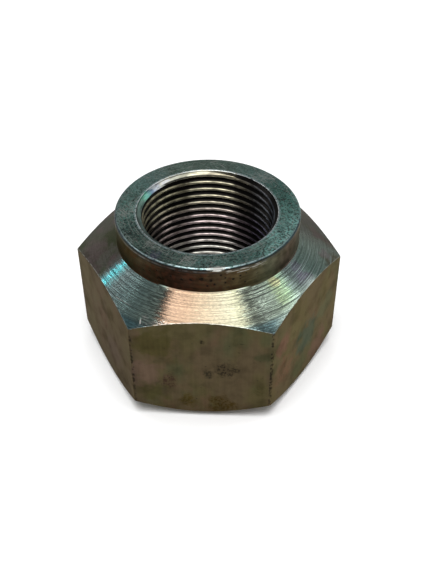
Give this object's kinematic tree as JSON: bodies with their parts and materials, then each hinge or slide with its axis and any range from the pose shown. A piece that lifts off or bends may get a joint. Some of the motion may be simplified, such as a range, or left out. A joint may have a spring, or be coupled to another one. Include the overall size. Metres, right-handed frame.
{
  "type": "threaded nut",
  "caption": "Heavy hexagon nut with a short turned collar above a broad conical shoulder, a fine threaded bore countersunk at both ends, and a flat bearing face.",
  "frame": {"origin": "centre of the flat bearing face at the nut's foot, on the bore's axis", "axes": "+Z along the bore axis, from the bearing face up out of the collar; one flat of the hexagon faces -Y and two of its corners lie on X"},
  "size_m": [0.0472, 0.041, 0.03],
  "materials": {
    "nut_body": "turned steel, zinc plated with a dull olive and iridescent yellow passivation"
  },
  "bodies": {
    "root": {"nut_body": "nut_body"}
  },
  "joints": []
}
